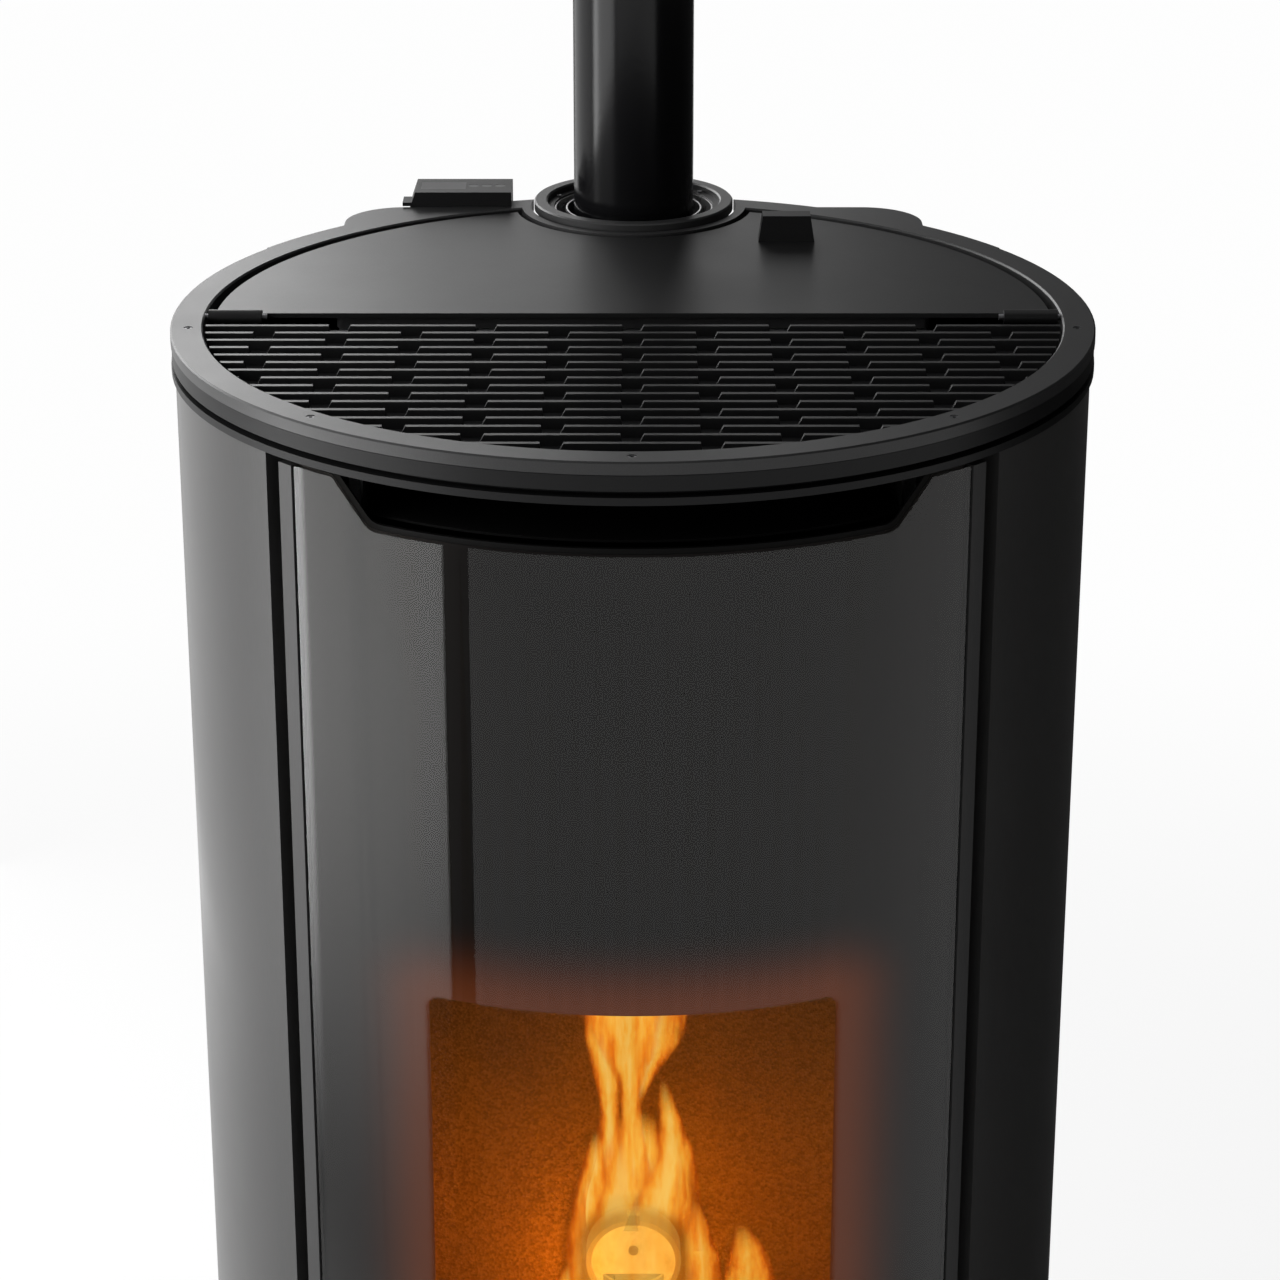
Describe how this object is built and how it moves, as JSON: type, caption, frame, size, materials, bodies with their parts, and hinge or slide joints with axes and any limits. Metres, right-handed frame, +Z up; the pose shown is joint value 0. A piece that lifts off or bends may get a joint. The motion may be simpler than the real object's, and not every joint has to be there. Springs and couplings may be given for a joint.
{
  "type": "pellet stove",
  "caption": "Round pellet stove with a curved glass door, a slotted top grille, a rear hopper lid and a vertical flue starter pipe.",
  "frame": {"origin": "centre of the whole stove's bounding box in plan, at floor level", "axes": "+Z up, -Y out of the glass front, +X to the right of a viewer who faces the front"},
  "size_m": [0.56, 0.6035, 1.48],
  "materials": {
    "cast_rim": "matt black casting",
    "black_steel": "matt black paint",
    "lid_satin": "satin black paint",
    "panel_grey": "satin dark grey paint",
    "trim_grey": "satin grey paint",
    "flue_enamel": "gloss black enamel",
    "pane": "clear glass ceramic",
    "print_black": "gloss dark print",
    "lining_board": "rough pressed mineral board",
    "fire_iron": "bare heat-darkened iron",
    "sheet_steel": "zinc-coated sheet",
    "screw_steel": "blackened steel",
    "drive_steel": "plain steel",
    "foot_rubber": "moulded",
    "rope_seal": "woven glass rope",
    "lid_rubber": "silicone strip",
    "plastic_black": "fine texture",
    "display_window": "gloss",
    "circuit_green": "lacquered board"
  },
  "bodies": {
    "stove": {"air_intake_pipe": "sheet_steel", "air_vent_duct": "black_steel", "auger_gearmotor": "drive_steel", "auger_tube": "sheet_steel", "baffle_board": "lining_board", "base_plate": "black_steel", "chute_head": "fire_iron", "control_board": "circuit_green", "control_panel_case": "black_steel", "display_lens": "display_window", "door_hinges": "black_steel", "fire_floor": "fire_iron", "firebox_linings": "lining_board", "firebox_shell": "fire_iron", "flue_collar": "cast_rim", "flue_jacket": "black_steel", "flue_pipe": "flue_enamel", "flue_riser": "sheet_steel", "flue_sleeves": "sheet_steel", "frame_posts": "black_steel", "heat_exchanger": "sheet_steel", "hopper": "sheet_steel", "hopper_deck": "black_steel", "hopper_guard": "sheet_steel", "igniter": "drive_steel", "levelling_feet": "foot_rubber", "lid_hinge_pins": "screw_steel", "lid_seal": "lid_rubber", "lower_front_panel": "panel_grey", "lower_ring": "black_steel", "mid_ring": "black_steel", "plinth_skirt": "black_steel", "power_inlet": "plastic_black", "rear_panel": "black_steel", "room_fan_housing": "sheet_steel", "side_panel_left": "panel_grey", "side_panel_right": "panel_grey", "small_screws": "screw_steel", "smoke_duct": "sheet_steel", "smoke_fan_housing": "sheet_steel", "top_grille": "cast_rim", "top_ring": "cast_rim"},
    "lid": {"hopper_lid": "lid_satin", "lid_grip": "black_steel"},
    "door": {"door_glass": "pane", "glass_print": "print_black", "door_frame": "black_steel", "door_gasket": "rope_seal", "door_trims": "trim_grey"},
    "ash_drawer": {"ash_drawer_front": "panel_grey", "ash_pan": "sheet_steel"},
    "pot": {"burn_pot": "fire_iron"},
    "feed_screw": {"auger_screw": "drive_steel"},
    "smoke_impeller": {"smoke_fan_impeller": "drive_steel"},
    "room_rotor": {"room_fan_rotor": "drive_steel"},
    "soot_cap": {"cleanout_cap": "sheet_steel"},
    "button_1": {"panel_button_1": "plastic_black"},
    "button_2": {"panel_button_2": "plastic_black"},
    "button_3": {"panel_button_3": "plastic_black"},
    "rocker": {"power_switch": "plastic_black"}
  },
  "joints": [
    {"name": "lid_hinge", "type": "hinge", "parent": "stove", "child": "lid", "pos_m": [0, -0.0193, 1.1725], "axis": [1, 0, 0], "range_deg": [0, 95]},
    {"name": "door_hinge", "type": "hinge", "parent": "stove", "child": "door", "pos_m": [-0.18335, -0.21035, 0.8], "axis": [0, 0, -1], "range_deg": [0, 100]},
    {"name": "ash_drawer_slide", "type": "slide", "parent": "stove", "child": "ash_drawer", "axis": [0, -1, 0], "range_m": [0, 0.18]},
    {"name": "pot_lift", "type": "slide", "parent": "stove", "child": "pot", "axis": [0, 0, 1], "range_m": [0, 0.05]},
    {"name": "feed_screw_turn", "type": "hinge", "parent": "stove", "child": "feed_screw", "pos_m": [0, 0.0982, 0.4], "axis": [0, -0.3714, 0.9285], "continuous": true},
    {"name": "smoke_impeller_turn", "type": "hinge", "parent": "stove", "child": "smoke_impeller", "pos_m": [0.098, 0.1282, 0.19], "axis": [0, 1, 0], "continuous": true},
    {"name": "room_rotor_turn", "type": "hinge", "parent": "stove", "child": "room_rotor", "pos_m": [0, -0.1018, 0.18], "axis": [1, 0, 0], "continuous": true},
    {"name": "soot_cap_slide", "type": "slide", "parent": "stove", "child": "soot_cap", "axis": [0, 0, -1], "range_m": [0, 0.03]},
    {"name": "button_1_press", "type": "slide", "parent": "stove", "child": "button_1", "axis": [0, 0, -1], "range_m": [0, 0.001], "stiffness_N_per_m": 600, "springref_m": -0.0005},
    {"name": "button_2_press", "type": "slide", "parent": "stove", "child": "button_2", "axis": [0, 0, -1], "range_m": [0, 0.001], "stiffness_N_per_m": 600, "springref_m": -0.0005},
    {"name": "button_3_press", "type": "slide", "parent": "stove", "child": "button_3", "axis": [0, 0, -1], "range_m": [0, 0.001], "stiffness_N_per_m": 600, "springref_m": -0.0005},
    {"name": "rocker_tilt", "type": "hinge", "parent": "stove", "child": "rocker", "pos_m": [-0.088, 0.2442, 0.134], "axis": [1, 0, 0], "range_deg": [0, 18]}
  ]
}
